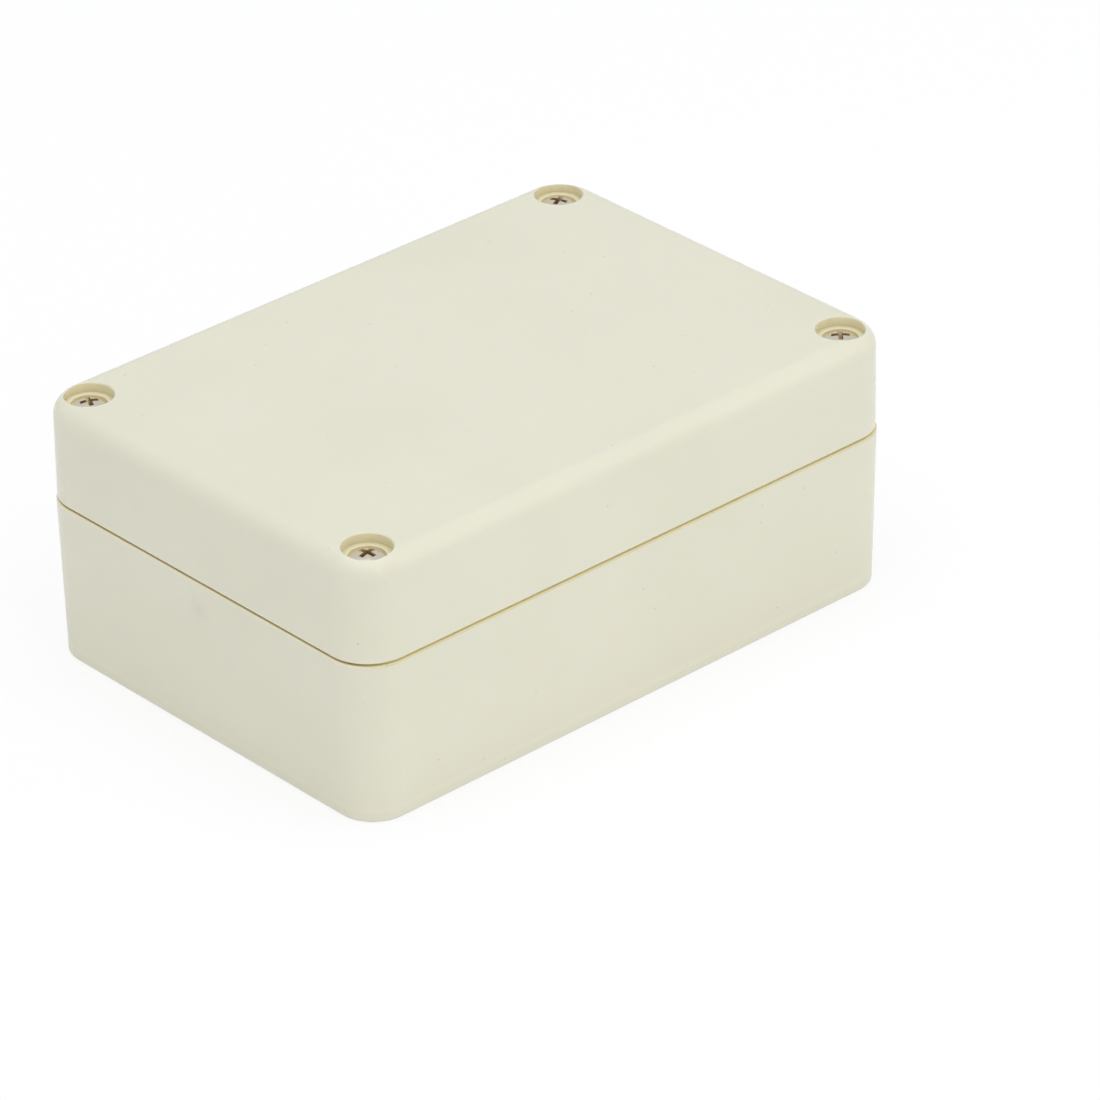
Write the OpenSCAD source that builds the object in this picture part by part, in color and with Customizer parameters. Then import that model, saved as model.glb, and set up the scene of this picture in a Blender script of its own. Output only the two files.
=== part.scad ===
// Sealed project box: a deep lid on a drafted base, held by four countersunk screws.
// Axes: X along the length, Y across the width, Z up from the underside. Millimetres.
// The seal's path is the key to the inside. It follows the walls, then bends inward round
// each screw post, so the screws stay outside the sealed space. The groove, the tongue, the
// cord and the hollow of each half are all drawn from that one path.

/* [Case] */
// outside length, at the rim of the base
case_l = 115; // [110:1:150]
// outside width, at the rim of the base
case_w = 80; // [74:1:110]
// outside height with the lid on
case_h = 46.6; // [44:0.1:49]
// height of the base, up to its rim
base_h = 28.5; // [26:0.1:31]
// radius of the base's upright corners, at the rim
corner_r = 7.3; // [6.8:0.1:7.8]
// lean of each side of the base, from foot to rim
base_lean = 0.55; // [0.2:0.05:0.8]
// thickness of the base's floor
floor_t = 3; // [2:0.1:4]

/* [Lid] */
// how far the lid's sides stand in from the base's rim
lid_step = 0.05; // [0:0.05:0.2]
// lean of each side of the lid, from rim to crown
lid_lean = 0.1; // [0.05:0.05:0.4]
// radius of the lid's upright corners, at its rim
lid_corner_r = 7.6; // [7:0.1:8]
// radius of the crown, where the sides roll into the top
crown_r = 3.1; // [2:0.1:3.4]
// thickness of the lid's top
top_t = 3; // [2:0.1:4]
// gap that the squeezed cord leaves between lid and base
seam_gap = 0.35; // [0.2:0.05:0.5]

/* [Edges] */
// radius on the two lips that face each other at the seam
lip_r = 0.3; // [0.2:0.05:0.5]
// radius round the foot of the base
foot_r = 0.5; // [0.3:0.1:1]

/* [Seal] */
// diameter of the round silicone cord
cord_d = 2.5; // [2:0.1:2.5]
// gap between the two cut ends of the cord, which butt together behind the back wall
cord_butt = 0.4; // [0.2:0.1:1]
// distance from the base's rim to the middle of the groove
seal_inset = 2.4; // [2.2:0.1:3]
// width of the groove
groove_w = 2.6; // [2.6:0.1:2.8]
// depth of the groove
groove_depth = 3.7; // [3.3:0.1:4.5]
// thickness of the lip on the inner side of the groove
inner_lip = 1; // [0.8:0.1:1.5]
// width of the lid's tongue, which presses on the cord
tongue_w = 2; // [1.6:0.1:2]
// air between the tongue and the cord before the screws squeeze it
tongue_gap = 0.15; // [0.1:0.05:0.5]
// radius of the path where it leaves a wall
wall_bend = 3.6; // [3:0.1:4.5]
// radius of the path round a screw
post_bend = 5.7; // [5.5:0.1:6.5]

/* [Screws] */
// distance of each screw in from the short sides of the rim
screw_inset_l = 6.6; // [6.4:0.1:7]
// distance of each screw in from the long sides of the rim
screw_inset_w = 6.3; // [6.1:0.1:6.5]
// diameter of the sunk pocket that each head drops into
pocket_d = 8.2; // [7:0.1:8.4]
// depth of that pocket
pocket_depth = 1.75; // [1:0.05:3]
// diameter of the 90 degree seat at the pocket's floor
seat_d = 6.2; // [6:0.1:6.8]
// diameter of the clearance hole for the shank
shank_hole_d = 4; // [3.4:0.1:4.4]
// diameter of the screw's thread
thread_d = 3; // [2.5:0.1:3.4]
// length of the screw below the rim of its head
screw_len = 16; // [14:1:18]
// diameter of the head
head_d = 5.9; // [5.5:0.1:6]
// rise of the oval head above its rim
head_rise = 0.6; // [0.3:0.1:0.9]
// turn of the cross recess in each screw, as they happened to tighten
screw_turn = [24, 67, 8, 49]; // [0:1:90]

/* [Screw posts] */
// diameter of the post that stands up from the base into the lid
post_d = 7; // [6.6:0.1:7.2]
// rise of the post above the base's rim
post_rise = 5; // [3:0.5:6]
// clearance round the post inside the lid
post_gap = 0.3; // [0.2:0.05:0.4]
// outside diameter of the brass thread insert
insert_d = 4.6; // [4.2:0.1:4.8]
// length of the insert
insert_len = 6; // [4:0.5:8]

/* [Board standoffs] */
// distance between standoffs along the length
board_span_l = 76; // [50:1:78]
// distance between standoffs across the width
board_span_w = 48; // [30:1:50]
// diameter of each standoff
standoff_d = 6; // [5:0.5:7]
// height of each standoff above the floor
standoff_h = 5; // [3:0.5:8]
// diameter of its pilot hole, for a self-tapping screw
pilot_d = 2.5; // [2:0.1:3]

/* [Hidden] */
$fn = 64;
arc_steps = 10;
cord_sides = 16;
cut = 1;                                    // how far a cutter runs past the face it cuts
ivory = [0.87, 0.86, 0.78];
silicone = [0.95, 0.95, 0.93];
brass = [0.78, 0.63, 0.33];
nickel = [0.80, 0.79, 0.74];

screw_x = case_l / 2 - screw_inset_l;
screw_y = case_w / 2 - screw_inset_w;
lid_z = base_h + seam_gap;                  // the lid's rim
lid_h = case_h - lid_z;
groove_z = base_h - groove_depth;           // the groove's floor
tongue_h = groove_depth + seam_gap - cord_d - tongue_gap;
post_top = base_h + post_rise;
pocket_z = case_h - pocket_depth;           // floor of each screw pocket
head_land = 0.15;                           // thin cylinder at the rim of the head
head_gap = 0.05;                            // air between the head and its seat
head_z = pocket_z - (seat_d - head_d) / 2 + head_land + head_gap;
bore_d = thread_d + 0.1;                    // inside the insert, round the screw's crests
bite = 0.05;                                // how far the insert's knurls bite into the post
standoff_top = floor_t + standoff_h;

// corners in order round the case: back right, back left, front left, front right
function corner(i) = [(i == 0 || i == 3) ? 1 : -1, i < 2 ? 1 : -1];
function screw_at(i) = [corner(i).x * screw_x, corner(i).y * screw_y, 0];

// ---- the seal's path ----

// an arc about c from angle a to angle b, without its first point
function arc(c, r, a, b) =
    [for (i = [1:arc_steps]) let (t = a + (b - a) * i / arc_steps) c + r * [cos(t), sin(t)]];

function reversed(v) = [for (i = [len(v) - 1:-1:0]) v[i]];
function flipped(v, sx, sy) = [for (p = v) [p.x * sx, p.y * sy]];

// The back right corner, walked clockwise, with the path grown outward by d. Three arcs meet
// tangentially: off the back wall, backward round the screw, and onto the right wall.
function corner_path(d) =
    let (
        s = [screw_x, screw_y],
        reach = post_bend + wall_bend,
        dx = case_l / 2 - seal_inset - wall_bend - screw_x,
        dy = case_w / 2 - seal_inset - wall_bend - screw_y,
        back = s + [-sqrt(reach * reach - dy * dy), dy],
        side = s + [dx, -sqrt(reach * reach - dx * dx)],
        a_back = atan2(s.y - back.y, s.x - back.x),
        a_side = atan2(s.y - side.y, s.x - side.x)
    )
    concat([back + [0, wall_bend + d]],
           arc(back, wall_bend + d, 90, a_back),
           arc(s, post_bend - d, a_back + 180, a_side + 180),
           arc(side, wall_bend + d, a_side, 0));

// the whole path, clockwise from the back right corner
function seal_path(d) =
    let (q = corner_path(d))
    concat(q, reversed(flipped(q, 1, -1)), flipped(q, -1, -1), reversed(flipped(q, -1, 1)));

// a band along the path, w wide
module seal_band(w) {
    difference() {
        polygon(seal_path(w / 2));
        polygon(seal_path(-w / 2));
    }
}

// ---- moulded shells ----

// Section through one wall, from the corner's axis outward: a leaning side between two
// rounded edges. low and high are the side's distances from the axis at foot and rim.
module wall_section(low, high, h, low_r, high_r) {
    polygon([[0, 0], [low - low_r, 0], [low, low_r], [high, h - high_r], [high - high_r, h], [0, h]]);
    translate([low - low_r, low_r])
        circle(low_r);
    translate([high - high_r, h - high_r])
        circle(high_r);
}

// A solid block with that section all round: two crossing slabs, and the section turned
// through a quarter at each corner.
module moulded_block(l, w, h, low, high, low_r, high_r) {
    ax = l / 2 - max(low, high);
    ay = w / 2 - max(low, high);
    translate([-ax, -ay, 0])
        cube([2 * ax, 2 * ay, h]);
    for (turn = [0, 180])
        rotate([0, 0, turn]) {
            translate([ax, ay, 0])
                rotate([90, 0, 0])
                    linear_extrude(2 * ay)
                        wall_section(low, high, h, low_r, high_r);
            translate([-ax, ay, 0])
                rotate([90, 0, 90])
                    linear_extrude(2 * ax)
                        wall_section(low, high, h, low_r, high_r);
        }
    for (i = [0:3])
        translate([corner(i).x * ax, corner(i).y * ay, 0])
            rotate([0, 0, 90 * i])
                rotate_extrude(angle = 90)
                    wall_section(low, high, h, low_r, high_r);
}

// ---- base ----

// one standoff, with a sloping foot, rooted in the middle of the floor
module standoff() {
    r = standoff_d / 2;
    foot = 0.7;
    rotate_extrude()
        polygon([[0, floor_t / 2], [r + foot, floor_t / 2], [r + foot, floor_t],
                 [r, floor_t + foot], [r, standoff_top], [0, standoff_top]]);
}

module each_standoff() {
    for (i = [0:3])
        translate([corner(i).x * board_span_l / 2, corner(i).y * board_span_w / 2, 0])
            children();
}

// the post's bore, upward from its foot: room for the tip of the screw, the seat of the
// insert, and a flared mouth
module insert_bore() {
    tip_r = thread_d / 2 + 0.3;
    tip_room = 3;
    seat_r = insert_d / 2;
    flare = 0.3;
    translate([0, 0, post_top])
        rotate_extrude()
            polygon([[0, -insert_len - tip_room], [tip_r, -insert_len - tip_room],
                     [tip_r, -insert_len], [seat_r, -insert_len], [seat_r, -flare],
                     [seat_r + flare + cut, cut], [0, cut]]);
}

module base() {
    color(ivory)
        difference() {
            union() {
                difference() {
                    moulded_block(case_l, case_w, base_h, corner_r - base_lean, corner_r, foot_r, lip_r);
                    translate([0, 0, floor_t])
                        linear_extrude(base_h)
                            polygon(seal_path(-groove_w / 2 - inner_lip));
                    translate([0, 0, groove_z])
                        linear_extrude(groove_depth + cut)
                            seal_band(groove_w);
                }
                for (i = [0:3])
                    translate(screw_at(i) + [0, 0, floor_t])
                        cylinder(h = post_top - floor_t, d = post_d);
                each_standoff()
                    standoff();
            }
            for (i = [0:3])
                translate(screw_at(i))
                    insert_bore();
            each_standoff()
                translate([0, 0, floor_t / 2])
                    cylinder(h = standoff_top, d = pilot_d);
        }
}

// ---- lid ----

// one screw's way through the lid, upward: the wide socket that drops over the base's post,
// the clearance hole, the 90 degree seat, and the sunk pocket with its softened rim
module screw_way() {
    socket_r = post_d / 2 + post_gap;
    socket_top = post_top + post_gap;
    hole_r = shank_hole_d / 2;
    seat_r = seat_d / 2;
    pocket_r = pocket_d / 2;
    soft = 0.2;
    rotate_extrude()
        polygon([[0, lid_z - cut], [socket_r, lid_z - cut], [socket_r, socket_top],
                 [hole_r, socket_top], [hole_r, pocket_z - (seat_r - hole_r)], [seat_r, pocket_z],
                 [pocket_r, pocket_z], [pocket_r, case_h - soft],
                 [pocket_r + soft + cut, case_h + cut], [0, case_h + cut]]);
}

module lid() {
    color(ivory)
        difference() {
            union() {
                difference() {
                    translate([0, 0, lid_z])
                        moulded_block(case_l - 2 * lid_step, case_w - 2 * lid_step, lid_h,
                                      lid_corner_r, lid_corner_r - lid_lean, lip_r, crown_r);
                    translate([0, 0, lid_z - cut])
                        linear_extrude(lid_h - top_t + cut)
                            polygon(seal_path(-tongue_w / 2 - 0.2));
                }
                translate([0, 0, lid_z - tongue_h])
                    linear_extrude(tongue_h + cut)
                        seal_band(tongue_w);
            }
            for (i = [0:3])
                translate(screw_at(i))
                    screw_way();
        }
}

// ---- seal cord ----

// A round cord swept along the path, lying on the groove's floor. Its two cut ends meet at the
// middle of the back wall.
module seal_cord() {
    back_y = seal_path(0)[0].y;
    way = concat([[cord_butt / 2, back_y]], seal_path(0), [[-cord_butt / 2, back_y]]);
    last = len(way) - 1;
    points = [
        for (k = [0:last])
            let (
                ahead = way[min(k + 1, last)] - way[max(k - 1, 0)],
                out = [-ahead.y, ahead.x] / norm(ahead)
            )
            for (j = [0:cord_sides - 1])
                let (t = 360 * j / cord_sides, p = way[k] + out * cord_d / 2 * cos(t))
                [p.x, p.y, groove_z + cord_d / 2 * (1 + sin(t))]
    ];
    walls = [
        for (k = [0:last - 1], j = [0:cord_sides - 1])
            let (
                a = k * cord_sides + j,
                b = k * cord_sides + (j + 1) % cord_sides
            )
            each [[a, a + cord_sides, b], [b, a + cord_sides, b + cord_sides]]
    ];
    ends = [
        [for (j = [0:cord_sides - 1]) j],
        [for (j = [cord_sides - 1:-1:0]) last * cord_sides + j]
    ];
    color(silicone)
        polyhedron(points, concat(walls, ends));
}

// ---- screws and inserts ----

// raised countersunk head on a machine-threaded shank, all turned from one section
module screw(i) {
    head_r = head_d / 2;
    neck_r = thread_d / 2 - 0.2;
    neck_z = -head_land - (head_r - neck_r);
    tip_z = -screw_len;
    dome_r = (head_r * head_r + head_rise * head_rise) / (2 * head_rise);
    color(nickel)
        translate(screw_at(i) + [0, 0, head_z])
            difference() {
                union() {
                    rotate_extrude()
                        polygon([[0, 0], [head_r, 0], [head_r, -head_land], [neck_r, neck_z],
                                 [neck_r, neck_z - 0.6], [thread_d / 2, neck_z - 0.8],
                                 [thread_d / 2, tip_z + 0.4], [thread_d / 2 - 0.4, tip_z], [0, tip_z]]);
                    intersection() {
                        translate([0, 0, head_rise - dome_r])
                            sphere(dome_r);
                        cylinder(h = 2 * head_rise, d = head_d);
                    }
                }
                rotate([0, 0, screw_turn[i]])
                    cross_recess();
            }
}

// two crossed wings that narrow with depth
module cross_recess() {
    wing_w = 0.75;
    recess_d = 3.2;
    recess_h = 1.9;
    translate([0, 0, head_rise - recess_h])
        intersection() {
            cylinder(h = recess_h + 0.1, d1 = 1, d2 = recess_d);
            union() {
                for (turn = [0, 90])
                    rotate([0, 0, turn])
                        translate([-recess_d, -wing_w / 2, 0])
                            cube([2 * recess_d, wing_w, recess_h + 0.2]);
                cylinder(h = recess_h + 0.2, d = 1.4);
            }
        }
}

// brass thread insert: two knurled bands with a waist between them
module insert(i) {
    band_r = insert_d / 2 + bite;
    waist_r = insert_d / 2 - 0.25;
    band_h = insert_len * 0.36;
    color(brass)
        translate(screw_at(i) + [0, 0, post_top - insert_len])
            rotate_extrude()
                polygon([[bore_d / 2, 0], [band_r - 0.3, 0], [band_r, 0.3], [band_r, band_h],
                         [waist_r, band_h + 0.3], [waist_r, insert_len - band_h - 0.3],
                         [band_r, insert_len - band_h], [band_r, insert_len - 0.5],
                         [waist_r, insert_len - 0.3], [waist_r, insert_len - 0.1],
                         [bore_d / 2, insert_len - 0.1]]);
}

base();
lid();
seal_cord();
insert(0);  // insert_back_right
insert(1);  // insert_back_left
insert(2);  // insert_front_left
insert(3);  // insert_front_right
screw(0);  // screw_back_right
screw(1);  // screw_back_left
screw(2);  // screw_front_left
screw(3);  // screw_front_right
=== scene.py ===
# %% [markdown]
# A sealed project box, dressed round its CAD model
#
# The real thing is a small housing for electronics: a moulded base, a deep lid, a silicone cord
# squeezed between them, and four countersunk screws that pull the lid down onto brass inserts.
# The CAD model already holds every size, so this lesson never moves or scales a CAD part. It
# adds what a drawing leaves out: the finish of the plastic, the threads, the knurling and the
# light.

# %% Load the fixed frame
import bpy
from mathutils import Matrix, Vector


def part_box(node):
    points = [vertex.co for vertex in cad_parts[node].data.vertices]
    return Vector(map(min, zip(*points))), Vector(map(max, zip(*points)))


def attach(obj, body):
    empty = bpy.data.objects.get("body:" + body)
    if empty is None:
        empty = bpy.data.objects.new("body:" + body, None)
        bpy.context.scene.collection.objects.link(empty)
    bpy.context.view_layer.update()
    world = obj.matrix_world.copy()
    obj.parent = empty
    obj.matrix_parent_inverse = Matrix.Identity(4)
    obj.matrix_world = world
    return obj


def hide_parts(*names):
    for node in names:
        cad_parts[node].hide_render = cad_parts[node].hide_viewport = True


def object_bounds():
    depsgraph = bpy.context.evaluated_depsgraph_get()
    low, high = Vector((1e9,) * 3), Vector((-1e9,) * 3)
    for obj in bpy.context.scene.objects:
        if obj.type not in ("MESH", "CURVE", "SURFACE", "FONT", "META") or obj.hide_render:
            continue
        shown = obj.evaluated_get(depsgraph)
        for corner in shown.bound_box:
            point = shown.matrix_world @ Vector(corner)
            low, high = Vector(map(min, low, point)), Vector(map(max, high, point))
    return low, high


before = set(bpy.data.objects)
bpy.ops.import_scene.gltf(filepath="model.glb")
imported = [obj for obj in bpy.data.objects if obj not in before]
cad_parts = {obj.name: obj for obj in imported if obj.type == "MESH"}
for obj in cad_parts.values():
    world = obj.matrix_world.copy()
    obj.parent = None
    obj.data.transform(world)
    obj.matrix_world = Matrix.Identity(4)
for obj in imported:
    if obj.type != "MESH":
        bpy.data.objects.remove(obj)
cad_low, cad_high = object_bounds()
print("nodes:", ", ".join(sorted(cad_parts)))

# %% Tools and units
import math

import bmesh
import bpy
from mathutils import Matrix, Quaternion, Vector, noise

MM = 0.001                                   # the scene is in metres, the sizes in millimetres
CORNERS = ["back_right", "back_left", "front_left", "front_right"]
case_size = cad_high - cad_low
case_centre = (cad_high + cad_low) / 2
print("case, mm:", [round(v / MM, 2) for v in case_size])

# %% [markdown]
# The camera
#
# A catalogue picture of such a box is taken from high up in front of one corner, with a long
# lens so that the edges stay almost parallel. A camera could be placed by hand, but angles round
# the object are easier to read and to change, so its place is worked out from an azimuth, an
# elevation and a distance. Azimuth 0 looks along +Y.

# %% Place the camera
azimuth = math.radians(-42.1)
elevation = math.radians(29.9)
roll = math.radians(-0.95)
distance = 1.031
aim = case_centre + Vector((-0.7, -19.8, -3.3)) * MM    # in front, so the box stands high


def direction(azimuth, elevation):
    # from the box towards a camera or a lamp
    level = math.cos(elevation)
    return Vector((math.sin(azimuth) * level, -math.cos(azimuth) * level, math.sin(elevation)))


camera = bpy.data.objects.new("camera", bpy.data.cameras.new("camera"))
bpy.context.scene.collection.objects.link(camera)
bpy.context.scene.camera = camera
camera.data.lens = 210
camera.data.sensor_width = 36
back = direction(azimuth, elevation)
camera.location = aim + back * distance
camera.rotation_mode = "QUATERNION"
camera.rotation_quaternion = (-back).to_track_quat("-Z", "Y") @ Quaternion((0, 0, 1), roll)
print("camera, m:", [round(v, 3) for v in camera.location])

# %% [markdown]
# Helpers for materials
#
# Every finish here is a small network of nodes. Writing each node on three lines makes a long
# script, so one helper adds a node, sets its options and fills its sockets. A value goes
# straight onto the socket; another node's output is linked.

# %% A node in one line
def add_node(tree, kind, sockets=None, **options):
    made = tree.nodes.new("ShaderNode" + kind)
    for name, value in options.items():
        setattr(made, name, value)
    for name, value in (sockets or {}).items():
        if isinstance(value, bpy.types.NodeSocket):
            tree.links.new(value, made.inputs[name])
        else:
            made.inputs[name].default_value = value
    return made


def calculate(tree, operation, *values):
    return add_node(tree, "Math", dict(enumerate(values)), operation=operation).outputs[0]


def mix_colours(tree, share, first, second):
    # a Mix node keeps its colour sockets at places 6 and 7
    made = add_node(tree, "Mix", {0: share, 6: first, 7: second}, data_type="RGBA")
    return made.outputs[2]


def fade(tree, value, start, end):
    # 0 at start and 1 at end, smooth in between
    sockets = {"Value": value, "From Min": start, "From Max": end}
    made = add_node(tree, "MapRange", sockets, interpolation_type="SMOOTHSTEP")
    return made.outputs["Result"]


def noise_of(tree, where, per_metre, detail=2.0):
    sockets = {"Vector": where, "Scale": per_metre, "Detail": detail}
    return add_node(tree, "TexNoise", sockets).outputs["Fac"]


# %% A material in one line
def start_material(name, sockets):
    # sockets: the values that are the same all over the surface
    made = bpy.data.materials.new(name)
    made.use_nodes = True
    tree = made.node_tree
    shader = tree.nodes["Principled BSDF"]
    for socket, value in sockets.items():
        shader.inputs[socket].default_value = value
    where = add_node(tree, "TexCoord").outputs["Object"]
    return made, tree, shader, where


def add_bump(tree, shader, *layers):
    # each layer is a height from 0 to 1 and how many metres that height stands for
    normal = None
    for height, depth in layers:
        sockets = {"Height": height, "Strength": 1.0, "Distance": depth}
        if normal:
            sockets["Normal"] = normal
        normal = add_node(tree, "Bump", sockets).outputs["Normal"]
    tree.links.new(normal, shader.inputs["Normal"])


# %% [markdown]
# The studio
#
# The box stands on a white sweep. The backdrop has to look plain white, but a world bright
# enough for that would bleach the ivory. So the brightness is switched by the kind of ray: a ray
# straight from the camera meets white, and a ray that lights the box, or is mirrored in it,
# meets dimmer walls. The floor keeps part of its plain diffuse shader, so the box still throws a
# soft shadow on it.

# %% White surroundings
scene = bpy.context.scene
scene.view_settings.view_transform = "Standard"
ambient = 0.635                              # brightness of the studio's walls
backdrop = (1.0, 1.0, 1.0, 1.0)


def seen_directly(tree):
    # 1 where the camera looks, and 0 for light that falls on the box or is mirrored in it
    path = add_node(tree, "LightPath").outputs
    return calculate(tree, "MAXIMUM", path["Is Camera Ray"], path["Is Transmission Ray"])


def hang_backdrop():
    world = bpy.data.worlds.new("studio")
    scene.world = world
    world.use_nodes = True
    tree = world.node_tree
    tree.nodes.clear()
    walls = add_node(tree, "Background", {"Color": backdrop, "Strength": ambient}).outputs[0]
    white = add_node(tree, "Background", {"Color": backdrop, "Strength": 1.0}).outputs[0]
    mixed = add_node(tree, "MixShader", {0: seen_directly(tree), 1: walls, 2: white})
    add_node(tree, "OutputWorld", {"Surface": mixed.outputs[0]})


hang_backdrop()
print("backdrop white to the camera, walls at", ambient)

# %% The floor and its soft shadow
floor_side = 8.0
floor_drop = 0.02 * MM                       # below the case, so that their faces don't coincide
floor_paint = (0.95, 0.95, 0.95, 1.0)
shadow_share = 0.22                          # how much of the floor's own shading the camera sees


def white_sweep():
    material = bpy.data.materials.new("white_sweep")
    material.use_nodes = True
    tree = material.node_tree
    tree.nodes.clear()
    paint = add_node(tree, "BsdfDiffuse", {"Color": floor_paint}).outputs[0]
    white = add_node(tree, "Emission", {"Color": backdrop, "Strength": 1.0}).outputs[0]
    share = calculate(tree, "MULTIPLY", seen_directly(tree), 1 - shadow_share)
    mixed = add_node(tree, "MixShader", {0: share, 1: paint, 2: white})
    add_node(tree, "OutputMaterial", {"Surface": mixed.outputs[0]})
    return material


def lay_floor():
    mesh = bpy.data.meshes.new("floor")
    half = floor_side / 2
    corners = [(-half, -half, 0), (half, -half, 0), (half, half, 0), (-half, half, 0)]
    mesh.from_pydata(corners, [], [(0, 1, 2, 3)])
    mesh.materials.append(white_sweep())
    floor = bpy.data.objects.new("floor", mesh)
    scene.collection.objects.link(floor)
    floor.location.z = cad_low.z - floor_drop


lay_floor()
print("floor", floor_side, "m across")

# %% [markdown]
# Four lamps
#
# A broad cool softbox overhead makes the top the brightest face, and a weaker one at the right
# makes the long side lighter than the short one. The other two hardly change those tones. They
# are there to be mirrored: the rounded corner of the lid catches a thin bright line from a tall
# strip, and a fainter spot from a small box beside the camera. Without such glints, plastic
# looks like plaster.


# %% Softboxes
def hang_softbox(name, azimuth, elevation, distance, width, height, watts, colour=(1, 1, 1)):
    # azimuth and elevation in degrees, measured round the box as the camera's are
    lamp = bpy.data.lights.new(name, "AREA")
    lamp.shape = "RECTANGLE"
    lamp.size = width
    lamp.size_y = height
    lamp.energy = watts
    lamp.color = colour
    box = bpy.data.objects.new(name, lamp)
    scene.collection.objects.link(box)
    towards = direction(math.radians(azimuth), math.radians(elevation))
    box.location = case_centre + towards * distance
    box.rotation_mode = "QUATERNION"
    box.rotation_quaternion = (-towards).to_track_quat("-Z", "Y")
    print(f"{name}: {watts} W, {width} by {height} m")


hang_softbox(
    "softbox_above", azimuth=-50, elevation=82, distance=1.3,
    width=1.5, height=1.5, watts=9.5, colour=(0.90, 0.925, 1.0),
)
hang_softbox(
    "strip_in_front", azimuth=-12.2, elevation=24, distance=1.2,
    width=0.08, height=1.0, watts=1.2,
)
hang_softbox(
    "softbox_by_the_camera", azimuth=-43.5, elevation=31, distance=1.3,
    width=0.2, height=0.2, watts=0.3,
)
hang_softbox(
    "softbox_right", azimuth=50, elevation=24, distance=1.45,
    width=1.0, height=1.0, watts=1.8,
)

# %% [markdown]
# The moulded case
#
# Both halves are injection moulded in ivory ABS. Up close such plastic isn't one colour. It
# clouds a little where it flowed and cooled, and it lets some light in, so the lips of the seam
# and the walls of the screw pockets glow warmer than the broad faces. A flat colour would look
# like paint.
#
# Here the colour drifts over some centimetres. Subsurface scattering softens the shading, and an
# ambient occlusion node finds the places where walls close in. Their colour is painted light and
# shade: a paler, warmer ivory as a painted glow at the edges of the seam and the pockets, and a
# deep ochre as painted shade inside them. The mould's satin face is two layers of bump: a grain of
# a third of a millimetre, and a slow wave that bends the reflections. On top, a thin clear coat
# keeps the small sharp glints that a rough surface alone would smear out. The lid doesn't sit
# quite level, so its seam is tight at the left and looser elsewhere. That is painted: dark painted
# shade at the left, paler painted light elsewhere, and painted shade on the lips there so that the
# seam looks wider. Some dust and one faint smudge finish it.

# %% Colours of the ivory, with painted glow and shade
ivory = (0.746, 0.729, 0.590, 1.0)
ivory_cloud = (0.729, 0.713, 0.573, 1.0)
# painted light and shade: a glow on thin edges, and shade deep in crevices
painted_edge_glow = (0.86, 0.80, 0.58, 1.0)         # thin lips, lit from inside
painted_crevice_shade = (0.65, 0.585, 0.35, 1.0)        # where light arrives only through the plastic
# the seam's painted colours: shade where it is tight, light where it is loose, and shade on its lips
painted_tight_seam_shade = (0.70, 0.61, 0.35, 1.0)
painted_loose_seam_light = (0.95, 0.86, 0.53, 1.0)
painted_lip_shade = (0.62, 0.57, 0.36, 1.0)           # the shaded lips where the seam is loose
speck = (0.42, 0.38, 0.29, 1.0)
grime = (0.56, 0.56, 0.46, 1.0)
clouds_per_metre = 32.0
print("ivory:", ivory[:3])


# %% Dust, and one smudge
specks_per_metre = 300.0
speck_r = 0.22 * MM
specked_cells = 0.4                          # the share of cells that hold a speck
smudge_at = Vector((cad_low.x, case_centre.y, cad_low.z + 23.7 * MM))
smudge_r = 2.6 * MM
print("smudge at, mm:", [round(v / MM, 1) for v in smudge_at])


def dust_specks(tree, where):
    # the texture's cells are about three millimetres across, with at most one speck in each
    settings = {"Vector": where, "Scale": specks_per_metre, "Randomness": 1.0}
    cells = add_node(tree, "TexVoronoi", settings).outputs
    reach = speck_r * specks_per_metre
    inside = fade(tree, cells["Distance"], reach, reach / 2)
    lot = add_node(tree, "SeparateColor", {"Color": cells["Color"]}).outputs[0]
    drawn = calculate(tree, "LESS_THAN", lot, specked_cells)
    return calculate(tree, "MULTIPLY", inside, drawn)


def thumb_smudge(tree, where):
    # one faint grey mark on the left side of the base, just under the seam
    away = add_node(tree, "VectorMath", {0: where, 1: smudge_at}, operation="DISTANCE")
    cloud = noise_of(tree, where, 500.0)
    ragged = calculate(tree, "MULTIPLY_ADD", cloud, smudge_r, away.outputs["Value"])
    return fade(tree, ragged, smudge_r * 1.8, smudge_r * 0.2)


# %% Where walls close in, for painted glow and shade
closed_reach = 3.0 * MM
edge_sight = (1.0, 0.85)                     # the share of open view where a tint starts, and
deep_sight = (0.9, 0.35)                     # where it is full
foot = (cad_low.z + 1.0 * MM, cad_low.z + 4.0 * MM)
print("walls count as close within, mm:", round(closed_reach / MM, 1))


def closed_in(tree, where):
    # how much the walls nearby close in on a point, as masks for painted light and shade: some at an
    # edge of the seam or a pocket, for a painted glow, more inside them, for painted shade. The floor
    # closes in on the foot too, but white paper has no warm glow to give
    sight = add_node(tree, "AmbientOcclusion", {"Distance": closed_reach}, samples=8).outputs["AO"]
    height = add_node(tree, "SeparateXYZ", {"Vector": where}).outputs["Z"]
    off_floor = fade(tree, height, *foot)
    at_edge = calculate(tree, "MULTIPLY", fade(tree, sight, *edge_sight), off_floor)
    inside = calculate(tree, "MULTIPLY", fade(tree, sight, *deep_sight), off_floor)
    return at_edge, inside


# %% The seam, tight and loose, in painted shade and light
seam_z = cad_low.z + 28.675 * MM             # the middle of the gap between base and lid
seam_fade = (0.9 * MM, 0.6 * MM)             # distances from that middle
lip_fade = (0.56 * MM, 0.3 * MM)
tight_width = 6.0 * MM                       # how far from the left face the seam stays tight
print("seam at, mm:", round(seam_z / MM, 2))


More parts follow.
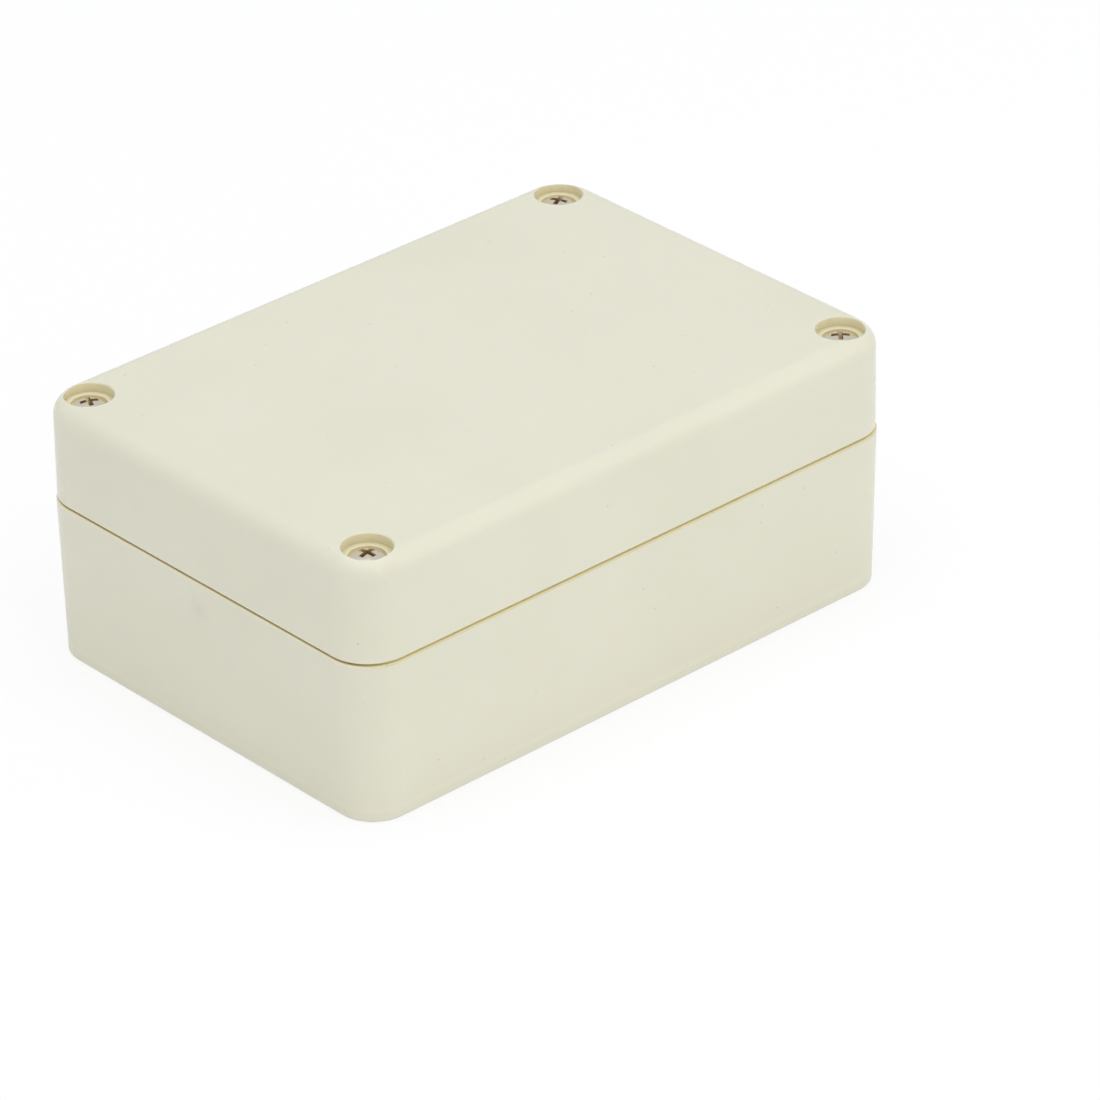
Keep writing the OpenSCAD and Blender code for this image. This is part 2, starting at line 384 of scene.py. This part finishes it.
def painted_seam(tree, where):
    # painted seam: dark painted shade where the lid sits tightest, at the left. Elsewhere paler
    # painted light in the seam, and painted shade on its lips so that they look parted
    place = add_node(tree, "SeparateXYZ", {"Vector": where}).outputs
    off_seam = calculate(tree, "ABSOLUTE", calculate(tree, "SUBTRACT", place["Z"], seam_z))
    loose = fade(tree, place["X"], cad_low.x, cad_low.x + tight_width)
    seam = mix_colours(tree, loose, painted_tight_seam_shade, painted_loose_seam_light)
    in_seam = fade(tree, off_seam, *seam_fade)
    deep = mix_colours(tree, in_seam, painted_crevice_shade, seam)
    near_gap = fade(tree, off_seam, *lip_fade)
    on_lips = calculate(tree, "MULTIPLY", near_gap, loose)
    return on_lips, deep


# %% Ivory satin ABS
def moulded_abs(name):
    made, tree, shader, where = start_material(name, {
        "Roughness": 0.55,
        "IOR": 1.5,
        "Subsurface Weight": 0.22,
        "Subsurface Radius": (1.0, 0.82, 0.45),
        "Subsurface Scale": 1.2 * MM,
        "Specular IOR Level": 0.2,
        "Coat Weight": 0.5,
        "Coat Roughness": 0.08,
        "Coat IOR": 1.5,
    })
    clouds = fade(tree, noise_of(tree, where, clouds_per_metre, 3.0), 0.35, 0.7)
    colour = mix_colours(tree, clouds, ivory, ivory_cloud)
    at_edge, inside = closed_in(tree, where)
    on_lips, deep = painted_seam(tree, where)
    # painted glow at the edges, painted shade on the seam's lips and inside the seam and pockets, then
    # a real smudge and dust
    layers = [
        (at_edge, 0.8, painted_edge_glow),
        (on_lips, 0.8, painted_lip_shade),
        (inside, 0.9, deep),
        (thumb_smudge(tree, where), 0.3, grime),
        (dust_specks(tree, where), 0.5, speck),
    ]
    for place, strength, over in layers:
        share = calculate(tree, "MULTIPLY", place, strength)
        colour = mix_colours(tree, share, colour, over)
    tree.links.new(colour, shader.inputs["Base Color"])
    slow_wave = noise_of(tree, where, 70.0, 1.0)
    satin_grain = noise_of(tree, where, 2800.0)
    add_bump(tree, shader, (slow_wave, 0.05 * MM), (satin_grain, 0.004 * MM))
    return made


def paint_cad(node, material):
    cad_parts[node].material_slots[0].material = material
    print(node, "is now", material.name)


paint_cad("base", moulded_abs("ivory_abs_base"))
paint_cad("lid", moulded_abs("ivory_abs_lid"))

# %% [markdown]
# The seal cord
#
# The seal is a plain round silicone cord laid in the base's groove, with its two cut ends butted
# behind the back wall. The CAD cord is a coarse tube, so it is swept again with more sides. The
# centreline is the same one that the groove follows: straight along each wall, then three
# touching arcs at every corner, off the wall, back round the screw post, and onto the next wall.
# The walls and posts give all its points, so nothing is typed in by hand.

# %% The cord's centreline
cord_low, cord_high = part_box("seal_cord")
cord_r = (cord_high.z - cord_low.z) / 2
wall_bend = 3.6 * MM                         # radius where the cord leaves or joins a wall
post_bend = 5.7 * MM                         # radius round a screw post
arc_steps = 14
cut_gap = 0.4 * MM
post_low, post_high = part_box("screw_back_right")
post_at = Vector(((post_low.x + post_high.x) / 2, (post_low.y + post_high.y) / 2))
wall_at = Vector((cord_high.x - cord_r, cord_high.y - cord_r))


def arc(centre, radius, start, end):
    turns = [start + (end - start) * i / arc_steps for i in range(arc_steps + 1)]
    return [centre + radius * Vector((math.cos(t), math.sin(t))) for t in turns]


def corner_bends():
    # the back right corner, walked clockwise
    reach = post_bend + wall_bend
    aside = wall_at - Vector((wall_bend, wall_bend)) - post_at
    off_back = post_at + Vector((-math.sqrt(reach**2 - aside.y**2), aside.y))
    onto_side = post_at + Vector((aside.x, -math.sqrt(reach**2 - aside.x**2)))
    down = math.atan2(*(post_at - off_back).yx)
    along = math.atan2(*(post_at - onto_side).yx)
    return (
        arc(off_back, wall_bend, math.pi / 2, down)
        + arc(post_at, post_bend, down + math.pi, along + math.pi)[1:-1]
        + arc(onto_side, wall_bend, along, 0)
    )


def mirrored(points, x_sign, y_sign):
    return [Vector((p.x * x_sign, p.y * y_sign)) for p in points]


def centreline():
    corner = corner_bends()
    start = Vector((cut_gap / 2, wall_at.y))
    front_right = mirrored(corner, 1, -1)[::-1]
    front_left = mirrored(corner, -1, -1)
    back_left = mirrored(corner, -1, 1)[::-1]
    end = Vector((-cut_gap / 2, wall_at.y))
    return [start] + corner + front_right + front_left + back_left + [end]


way = centreline()
cord_length = sum((b - a).length for a, b in zip(way, way[1:]))
print("cord length, mm:", round(cord_length / MM, 1))


# %% Sweep the cord
cord_sides = 24
ring_spacing = 1.2 * MM
thinner_by = 0.012                           # the most that the cord is under its full size
swells_per_metre = 90


def even_steps(points, step):
    # the same line with long stretches cut into short ones, so that the tube can be uneven
    spaced = [points[0]]
    for a, b in zip(points, points[1:]):
        count = max(1, round((b - a).length / step))
        spaced += [a.lerp(b, k / count) for k in range(1, count + 1)]
    return spaced


def cord_rings(points, sides):
    rings = []
    last = len(points) - 1
    for k, p in enumerate(points):
        ahead = (points[min(k + 1, last)] - points[max(k - 1, 0)]).normalized()
        out = Vector((-ahead.y, ahead.x))
        lumps = noise.noise(Vector((p.x, p.y, 0)) * swells_per_metre)
        swell = 1 - thinner_by * (0.5 + 0.5 * lumps)
        r = cord_r * swell
        ring = []
        for j in range(sides):
            t = 2 * math.pi * j / sides
            x = p.x + out.x * r * math.cos(t)
            y = p.y + out.y * r * math.cos(t)
            ring.append(Vector((x, y, cord_low.z + cord_r * (1 + math.sin(t) * swell))))
        rings.append(ring)
    return rings


def skin(name, rings, joined=False):
    # a tube through rings of equal length: closed by two end faces, or joined into a hollow ring
    sides = len(rings[0])
    made = bmesh.new()
    rows = [[made.verts.new(p) for p in ring] for ring in rings]
    ahead = rows[1:] + rows[:1] if joined else rows[1:]
    for low, high in zip(rows, ahead):
        for j in range(sides):
            n = (j + 1) % sides
            made.faces.new((low[j], low[n], high[n], high[j])).smooth = True
    if not joined:
        made.faces.new(rows[0][::-1])
        made.faces.new(rows[-1])
    bmesh.ops.recalc_face_normals(made, faces=made.faces)
    mesh = bpy.data.meshes.new(name)
    made.to_mesh(mesh)
    made.free()
    piece = bpy.data.objects.new(name, mesh)
    scene.collection.objects.link(piece)
    return piece


cord = skin("cord", cord_rings(even_steps(way, ring_spacing), cord_sides))
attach(cord, "base")
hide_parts("seal_cord")
print("cord faces:", len(cord.data.polygons))

# %% [markdown]
# Silicone
#
# Silicone rubber is a milky white that light enters: it looks soft because its shading is
# blurred from inside. A high subsurface weight does that. Its skin is smooth and a little
# greasy, so it picks up a few pale clouds of dust rather than scratches.

# %% Milky silicone
milk = (0.90, 0.895, 0.865, 1.0)
milk_dusty = (0.84, 0.83, 0.79, 1.0)


def milky_silicone():
    made, tree, shader, where = start_material("milky_silicone", {
        "Roughness": 0.48,
        "IOR": 1.41,
        "Subsurface Weight": 0.6,
        "Subsurface Radius": (1.0, 0.9, 0.8),
        "Subsurface Scale": 0.8 * MM,
    })
    dust = fade(tree, noise_of(tree, where, 420.0, 3.0), 0.52, 0.72)
    tree.links.new(mix_colours(tree, dust, milk, milk_dusty), shader.inputs["Base Color"])
    add_bump(tree, shader, (noise_of(tree, where, 1500.0, 1.0), 0.01 * MM))
    return made


cord.data.materials.append(milky_silicone())
print("cord is now", cord.data.materials[0].name)

# %% [markdown]
# Screws
#
# Each screw is a raised countersunk M3 with a cross recess. It could be cut from a spun profile
# with a helical sweep, but a thread is easier as a height: at any turn and height on the shank,
# the radius follows the V of the thread, shifted by the turn. A grid of such points is one clean
# skin. The head is spun on the same grid, and the recess is cut out of it with a Boolean.

# %% Sizes of a screw
screw_low, screw_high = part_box("screw_front_left")
screw_top = screw_high.z
screw_tip = screw_low.z
screw_sides = 48
head_r = (screw_high.x - screw_low.x) / 2
head_rise = 0.6 * MM                         # the dome above the rim
head_land = 0.15 * MM                        # the short straight rim
thread_r = 1.5 * MM
thread_pitch = 0.5 * MM
thread_depth = 0.27 * MM
core_r = thread_r - thread_depth
rim_z = screw_top - head_rise
neck_z = rim_z - head_land - (head_r - core_r)
print("screw, mm:", round((screw_top - screw_tip) / MM, 2), "long, head radius", round(head_r / MM, 2))


# %% The thread as a height
rows_per_pitch = 8
crest_flat = 0.25                            # flats, in half pitches
root_flat = 0.125
runout_gap = 0.35 * MM                       # plain shank under the head
runout_len = 0.7 * MM
tip_chamfer = 0.35 * MM
tip_narrower = 0.12 * MM


def limited(share):
    return min(1.0, max(0.0, share))


def v_profile(t):
    # 0 at the root and 1 at the crest, over one pitch: short flats and straight flanks
    t = abs((t % 1.0) - 0.5) * 2
    return limited((1 - root_flat - t) / (1 - root_flat - crest_flat))


def shank_radius(z, turn):
    runout = limited((neck_z - runout_gap - z) / runout_len)
    tip = limited((z - screw_tip) / tip_chamfer)
    crest = thread_depth * v_profile(z / thread_pitch - turn)
    return core_r - tip_narrower * (1 - tip) + crest * runout * tip


def shank_rings(sides):
    rings = []
    count = round((neck_z - screw_tip) / thread_pitch * rows_per_pitch)
    for k in range(count + 1):
        z = screw_tip + (neck_z - screw_tip) * k / count
        turns = [j / sides for j in range(sides)]
        rings.append([(shank_radius(z, t), t, z) for t in turns])
    return rings


print("rings along the shank:", len(shank_rings(screw_sides)))


# %% The head, spun
soft_edge = 0.03 * MM
dome_steps = 14


def head_rings(sides):
    dome_r = (head_r**2 + head_rise**2) / (2 * head_rise)
    profile = [
        (head_r - soft_edge, rim_z - head_land - soft_edge),
        (head_r, rim_z - head_land + 0.02 * MM),
        (head_r, rim_z - soft_edge),
    ]
    widest = math.asin((head_r - 0.02 * MM) / dome_r)
    for k in range(dome_steps):
        lean = widest * (1 - k / dome_steps)
        r = dome_r * math.sin(lean)
        profile.append((r, screw_top - dome_r + dome_r * math.cos(lean)))
    return [[(r, j / sides, z) for j in range(sides)] for r, z in profile]


def spun(rings, axis):
    # rings of radius, turn and height become points round an upright axis
    placed = []
    for ring in rings:
        row = []
        for r, t, z in ring:
            angle = 2 * math.pi * t
            row.append(Vector((axis.x + r * math.cos(angle), axis.y + r * math.sin(angle), z)))
        placed.append(row)
    return placed


print("rings over the head:", len(head_rings(screw_sides)))

# %% The cross recess, cut out
recess_d = 3.2 * MM
recess_depth = 1.9 * MM
wing_w = 0.75 * MM
clear_above = 0.2 * MM
crisp_angle = math.radians(38)
print("cross recess, mm:", round(recess_d / MM, 2), "across,", round(recess_depth / MM, 2), "deep")


def recess_cutter(axis, turn):
    # two crossed wings that narrow as they go down: height, share of length, share of width
    levels = [(screw_top + clear_above, 1.08, 1.1), (screw_top - recess_depth, 0.3, 0.7)]
    made = bmesh.new()
    for wing in (0, math.pi / 2):
        spin = Matrix.Rotation(turn + wing, 3, "Z")
        rows = []
        for z, length, width in levels:
            a = recess_d / 2 * length
            b = wing_w / 2 * width
            centre = Vector((axis.x, axis.y, z))
            corners = [(-a, -b, 0), (a, -b, 0), (a, b, 0), (-a, b, 0)]
            rows.append([made.verts.new(spin @ Vector(corner) + centre) for corner in corners])
        high, low = rows
        made.faces.new(low[::-1])
        made.faces.new(high)
        for j in range(4):
            n = (j + 1) % 4
            made.faces.new((low[j], low[n], high[n], high[j]))
    mesh = bpy.data.meshes.new("recess")
    made.to_mesh(mesh)
    made.free()
    cutter = bpy.data.objects.new("recess", mesh)
    scene.collection.objects.link(cutter)
    return cutter


def cut_out(piece, cutter):
    # the faces that the cut makes take the cutter's material
    boolean = piece.modifiers.new("cut", "BOOLEAN")
    boolean.operation = "DIFFERENCE"
    boolean.solver = "EXACT"
    boolean.use_self = True
    boolean.material_mode = "TRANSFER"
    boolean.object = cutter
    graph = bpy.context.evaluated_depsgraph_get()
    result = bpy.data.meshes.new_from_object(piece.evaluated_get(graph))
    piece.modifiers.clear()
    piece.data = result
    bpy.data.objects.remove(cutter)


def crease(mesh, above, angle):
    # edges sharper than this angle stay crisp, on the part of the mesh above this height
    made = bmesh.new()
    made.from_mesh(mesh)
    for edge in made.edges:
        if edge.is_manifold and min(v.co.z for v in edge.verts) > above:
            edge.smooth = edge.calc_face_angle() < angle
    for face in made.faces:
        face.smooth = True
    made.to_mesh(mesh)
    made.free()


# %% [markdown]
# Nickel
#
# The screws are steel with a bright nickel plate. Nickel is a little yellower than chrome. The
# plate is smooth on the head and duller in the thread. The recess never sees the buffing wheel: it
# stays matt, and the oil that it holds browns it, and its dark brown is painted shade for the deep
# hole too, so it gets a finish of its own. The Boolean gives that finish to the faces that it cuts.

# %% Bright nickel
nickel = (0.85, 0.80, 0.67, 1.0)
nickel_dull = (0.72, 0.64, 0.44, 1.0)
# the recess's browns: oil, and painted shade for the deep hole
recess_brown = (0.40, 0.29, 0.15, 1.0)
recess_tan = (0.62, 0.49, 0.30, 1.0)


def bright_nickel():
    made, tree, shader, where = start_material("bright_nickel", {"Metallic": 1.0, "IOR": 1.5})
    height = add_node(tree, "SeparateXYZ", {"Vector": where}).outputs["Z"]
    patches = noise_of(tree, where, 900.0, 3.0)
    in_thread = fade(tree, height, neck_z, neck_z - 0.5 * MM)
    dull = calculate(tree, "MULTIPLY", in_thread, patches)
    tree.links.new(mix_colours(tree, dull, nickel, nickel_dull), shader.inputs["Base Color"])
    rough = calculate(tree, "MULTIPLY_ADD", patches, 0.14, 0.17)
    rough = calculate(tree, "ADD", rough, calculate(tree, "MULTIPLY", in_thread, 0.1))
    tree.links.new(rough, shader.inputs["Roughness"])
    add_bump(tree, shader, (noise_of(tree, where, 4000.0), 0.003 * MM))
    return made


def oily_shaded_recess():
    values = {"Metallic": 0.85, "Roughness": 0.45}
    made, tree, shader, where = start_material("oily_shaded_recess", values)
    patches = fade(tree, noise_of(tree, where, 1400.0), 0.35, 0.65)
    colour = mix_colours(tree, patches, recess_brown, recess_tan)
    tree.links.new(colour, shader.inputs["Base Color"])
    add_bump(tree, shader, (noise_of(tree, where, 5000.0, 1.0), 0.005 * MM))
    return made


plate = bright_nickel()
# the recess finish: oil and painted shade
shade = oily_shaded_recess()
print("screw finishes:", plate.name, "and", shade.name)


# %% Make the four screws
screw_turn = dict(zip(CORNERS, (24, 67, 8, 49)))    # degrees, as they happened to tighten


def axis_of(node):
    low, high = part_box(node)
    return (low + high) / 2


def make_screw(corner):
    axis = axis_of("screw_" + corner)
    rings = shank_rings(screw_sides) + head_rings(screw_sides)
    screw = skin("screw_" + corner + "_threaded", spun(rings, axis))
    screw.data.materials.append(plate)
    cutter = recess_cutter(axis, math.radians(screw_turn[corner]))
    cutter.data.materials.append(shade)
    cut_out(screw, cutter)
    crease(screw.data, screw_top - recess_depth - 0.1 * MM, crisp_angle)
    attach(screw, "screw_" + corner)
    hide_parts("screw_" + corner)
    return screw


for corner in CORNERS:
    print(corner, "screw faces:", len(make_screw(corner).data.polygons))

# %% [markdown]
# Thread inserts
#
# The screws don't bite into plastic: a brass insert sits in each post of the base. Two knurled
# bands, one slanting each way, keep it from turning or pulling out. Knurling is a height as the
# thread is, so it comes from the same kind of grid: up the outside, over the rim, and down the
# threaded bore, joined into a ring.

# %% Sizes of an insert
insert_low, insert_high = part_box("insert_front_left")
insert_sides = 96
insert_len = insert_high.z - insert_low.z
band_r = (insert_high.x - insert_low.x) / 2
waist_r = band_r - 0.3 * MM
band_h = insert_len * 0.37
band_edge = 0.25 * MM                        # where a band slopes down to the waist
bore_r = 1.55 * MM
bore_depth = 0.2 * MM
lead_in = 0.25 * MM
teeth = 24
tooth_depth = 0.14 * MM
tooth_slant = 3.6                            # how many teeth the pattern shifts over one band
print("insert, mm:", round(band_r * 2 / MM, 2), "by", round(insert_len / MM, 2))


# %% The insert as a grid
outside_steps = 36
bore_rows_per_pitch = 6


def tooth(t):
    return abs((t % 1.0) - 0.5) * 2


def band_radius(z, turn):
    # the outside, z above the insert's foot
    upper = z > insert_len / 2
    from_end = insert_len - band_edge - z if upper else z
    edge = min(from_end, band_h - from_end)
    slant = tooth_slant * z / band_h * (1 if upper else -1)
    knurled = band_r - tooth_depth * tooth(teeth * turn + slant)
    return waist_r + (knurled - waist_r) * limited(edge / band_edge)


def bore_radius(z, turn):
    flare = max(0.0, lead_in - min(z, insert_len - z))
    groove = 1 - v_profile((z + insert_low.z) / thread_pitch - turn)
    return bore_r + flare + bore_depth * groove


def insert_rings(sides):
    turns = [j / sides for j in range(sides)]
    rings = []
    for k in range(outside_steps + 1):
        z = insert_len * k / outside_steps
        rings.append([(band_radius(z, t), t, insert_low.z + z) for t in turns])
    bore_steps = round(insert_len / thread_pitch * bore_rows_per_pitch)
    for k in range(bore_steps + 1):
        z = insert_len * (1 - k / bore_steps)
        rings.append([(bore_radius(z, t), t, insert_low.z + z) for t in turns])
    return rings


print("rings of an insert:", len(insert_rings(insert_sides)))

# %% [markdown]
# Brass
#
# The inserts are turned from free-cutting brass. Handling dulls the metal to a browner gold in
# patches, and a fine bump stands for the marks of the lathe.

# %% Turned brass
brass = (0.80, 0.60, 0.28, 1.0)
brass_dull = (0.58, 0.42, 0.19, 1.0)


def turned_brass():
    values = {"Metallic": 1.0, "Roughness": 0.3, "IOR": 1.5}
    made, tree, shader, where = start_material("turned_brass", values)
    patches = fade(tree, noise_of(tree, where, 700.0, 3.0), 0.4, 0.65)
    tree.links.new(mix_colours(tree, patches, brass, brass_dull), shader.inputs["Base Color"])
    add_bump(tree, shader, (noise_of(tree, where, 3500.0), 0.004 * MM))
    return made


turned = turned_brass()
print("insert finish:", turned.name)


# %% Make the four inserts
def make_insert(corner):
    rings = spun(insert_rings(insert_sides), axis_of("insert_" + corner))
    insert = skin("insert_" + corner + "_knurled", rings, joined=True)
    insert.data.materials.append(turned)
    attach(insert, "base")
    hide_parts("insert_" + corner)
    return insert


for corner in CORNERS:
    print(corner, "insert faces:", len(make_insert(corner).data.polygons))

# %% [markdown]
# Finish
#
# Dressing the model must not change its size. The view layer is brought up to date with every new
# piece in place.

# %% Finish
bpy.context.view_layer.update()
